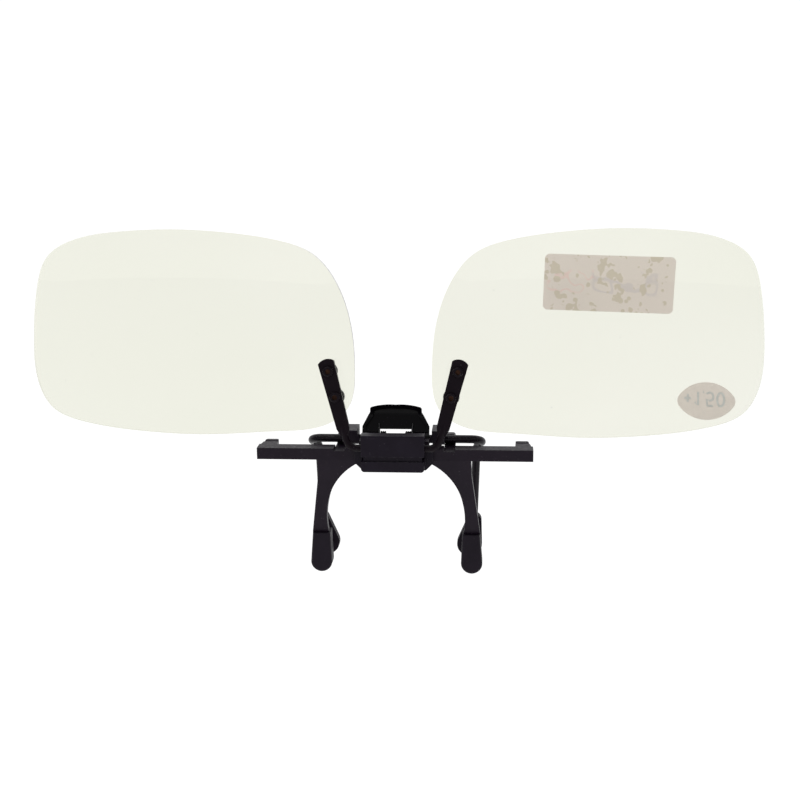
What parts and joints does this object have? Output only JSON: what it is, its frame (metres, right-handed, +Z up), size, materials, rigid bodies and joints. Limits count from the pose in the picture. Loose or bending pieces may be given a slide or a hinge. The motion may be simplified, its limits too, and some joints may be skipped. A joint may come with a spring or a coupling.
{
  "type": "clip-on flip lenses",
  "caption": "Clip-on reading lenses for spectacles: a spring jaw clip grips the lenses at the nose and a detent hinge flips the rimless lens pair up or down.",
  "frame": {"origin": "on the mirror plane, at the grip face of the front pads and the underside of the rim hooks", "axes": "+X to the right seen from the front, +Y to the back towards the wearer, +Z up; the lens pair is stored raised"},
  "size_m": [0.1478, 0.0158, 0.0743],
  "materials": {
    "frame_black": "satin black lacquer on die-cast metal",
    "cover_black": "satin black lacquer on folded sheet",
    "base_black": "satin black lacquer",
    "rivet_steel": "black lacquered steel",
    "leaf_steel": "spring steel",
    "spring_steel": "blackened spring steel",
    "arm_black": "satin black lacquer on wire",
    "cam_steel": "greased steel",
    "lens_tint": "clear resin with a faint yellow-green tint",
    "cushion_nylon": "soft nylon",
    "washer_nylon": "soft nylon",
    "nut_black": "black lacquered steel",
    "screw_brass": "darkened brass",
    "label_paper": "coated paper label with patches of glue",
    "power_paper": null,
    "wire_black": "satin black lacquer on spring wire",
    "lever_gloss": "gloss black",
    "pad_rubber": "soft matt black rubber"
  },
  "bodies": {
    "front_jaw": {"front_jaw_frame": "frame_black", "front_pad_left": "pad_rubber", "front_pad_right": "pad_rubber", "hinge_cover": "cover_black", "hinge_base": "base_black", "hinge_rivets": "rivet_steel", "detent_leaf_spring": "leaf_steel", "clamp_torsion_spring": "spring_steel"},
    "lens_pair": {"lens_arm_wire": "arm_black", "detent_cam": "cam_steel", "lens_left": "lens_tint", "lens_right": "lens_tint", "lens_cushions": "cushion_nylon", "lens_washers": "washer_nylon", "lens_nuts": "nut_black", "lens_screws": "screw_brass", "label_sticker": "label_paper", "power_sticker": "power_paper"},
    "rear_jaw": {"rear_jaw_wire": "wire_black", "thumb_lever": "lever_gloss", "rear_pad_left": "pad_rubber", "rear_pad_right": "pad_rubber"}
  },
  "joints": [
    {"name": "lens_flip", "type": "hinge", "parent": "front_jaw", "child": "lens_pair", "pos_m": [0, -0.0085, 0.0019], "axis": [1, 0, 0], "range_deg": [0, 180], "deforming": ["detent_leaf_spring"]},
    {"name": "clamp_open", "type": "hinge", "parent": "front_jaw", "child": "rear_jaw", "pos_m": [0, -0.0003, 0.00175], "axis": [1, 0, 0], "range_deg": [-4, 20], "stiffness_Nm_per_rad": 0.05, "deforming": ["clamp_torsion_spring"]}
  ]
}
